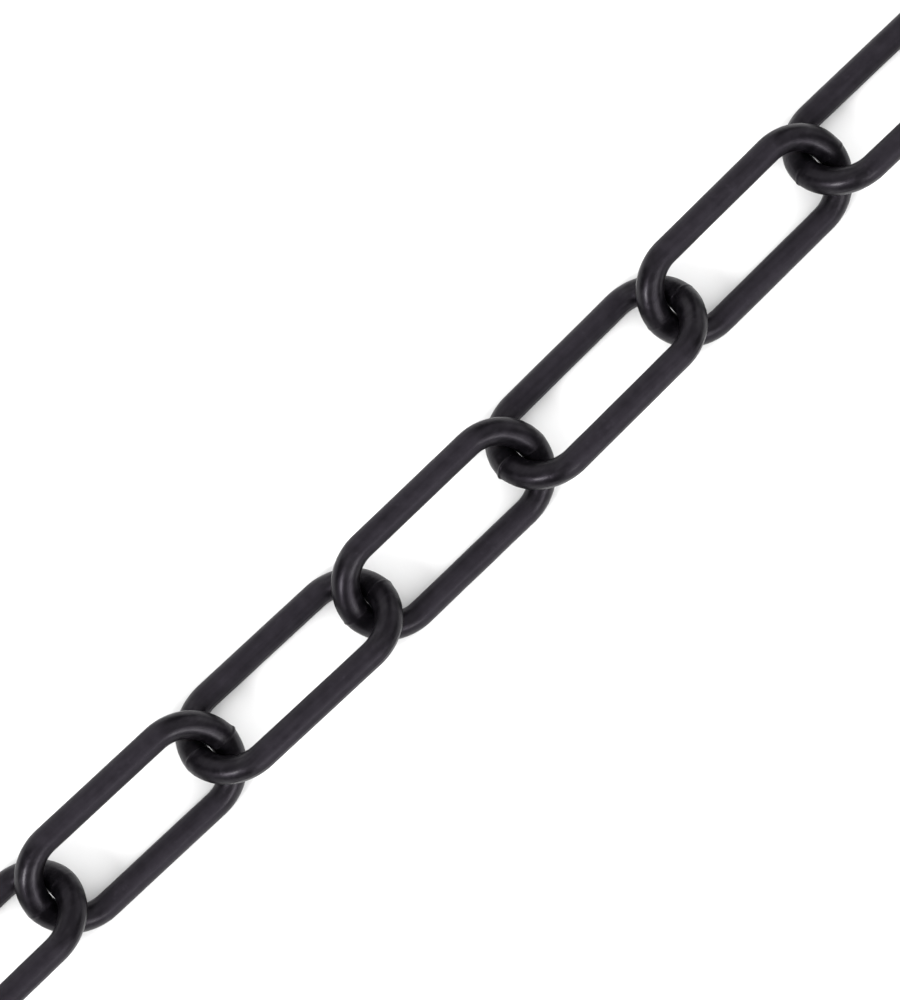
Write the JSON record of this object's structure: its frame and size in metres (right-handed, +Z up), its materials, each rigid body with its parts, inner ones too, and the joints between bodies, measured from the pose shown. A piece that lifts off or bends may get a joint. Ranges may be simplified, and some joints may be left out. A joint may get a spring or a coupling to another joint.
{
  "type": "length of plastic chain",
  "caption": "Straight length of black plastic chain on a level floor: long moulded oval links of round bar, each threaded through the next and leaning to alternate sides.",
  "frame": {"origin": "on the floor under the middle link, at the centre of the chain's length and width", "axes": "+X along the chain, +Y across it, towards the raised legs of the odd-numbered links, +Z up"},
  "size_m": [0.99, 0.026, 0.0168],
  "materials": {
    "black_plastic": "soft satin, moulded, coloured right through"
  },
  "bodies": {
    "root": {"link_01": "black_plastic", "link_02": "black_plastic", "link_03": "black_plastic", "link_04": "black_plastic", "link_05": "black_plastic", "link_06": "black_plastic", "link_07": "black_plastic", "link_08": "black_plastic", "link_09": "black_plastic", "link_10": "black_plastic", "link_11": "black_plastic", "link_12": "black_plastic", "link_13": "black_plastic", "link_14": "black_plastic", "link_15": "black_plastic", "link_16": "black_plastic", "link_17": "black_plastic", "link_18": "black_plastic", "link_19": "black_plastic", "link_20": "black_plastic", "link_21": "black_plastic"}
  },
  "joints": []
}
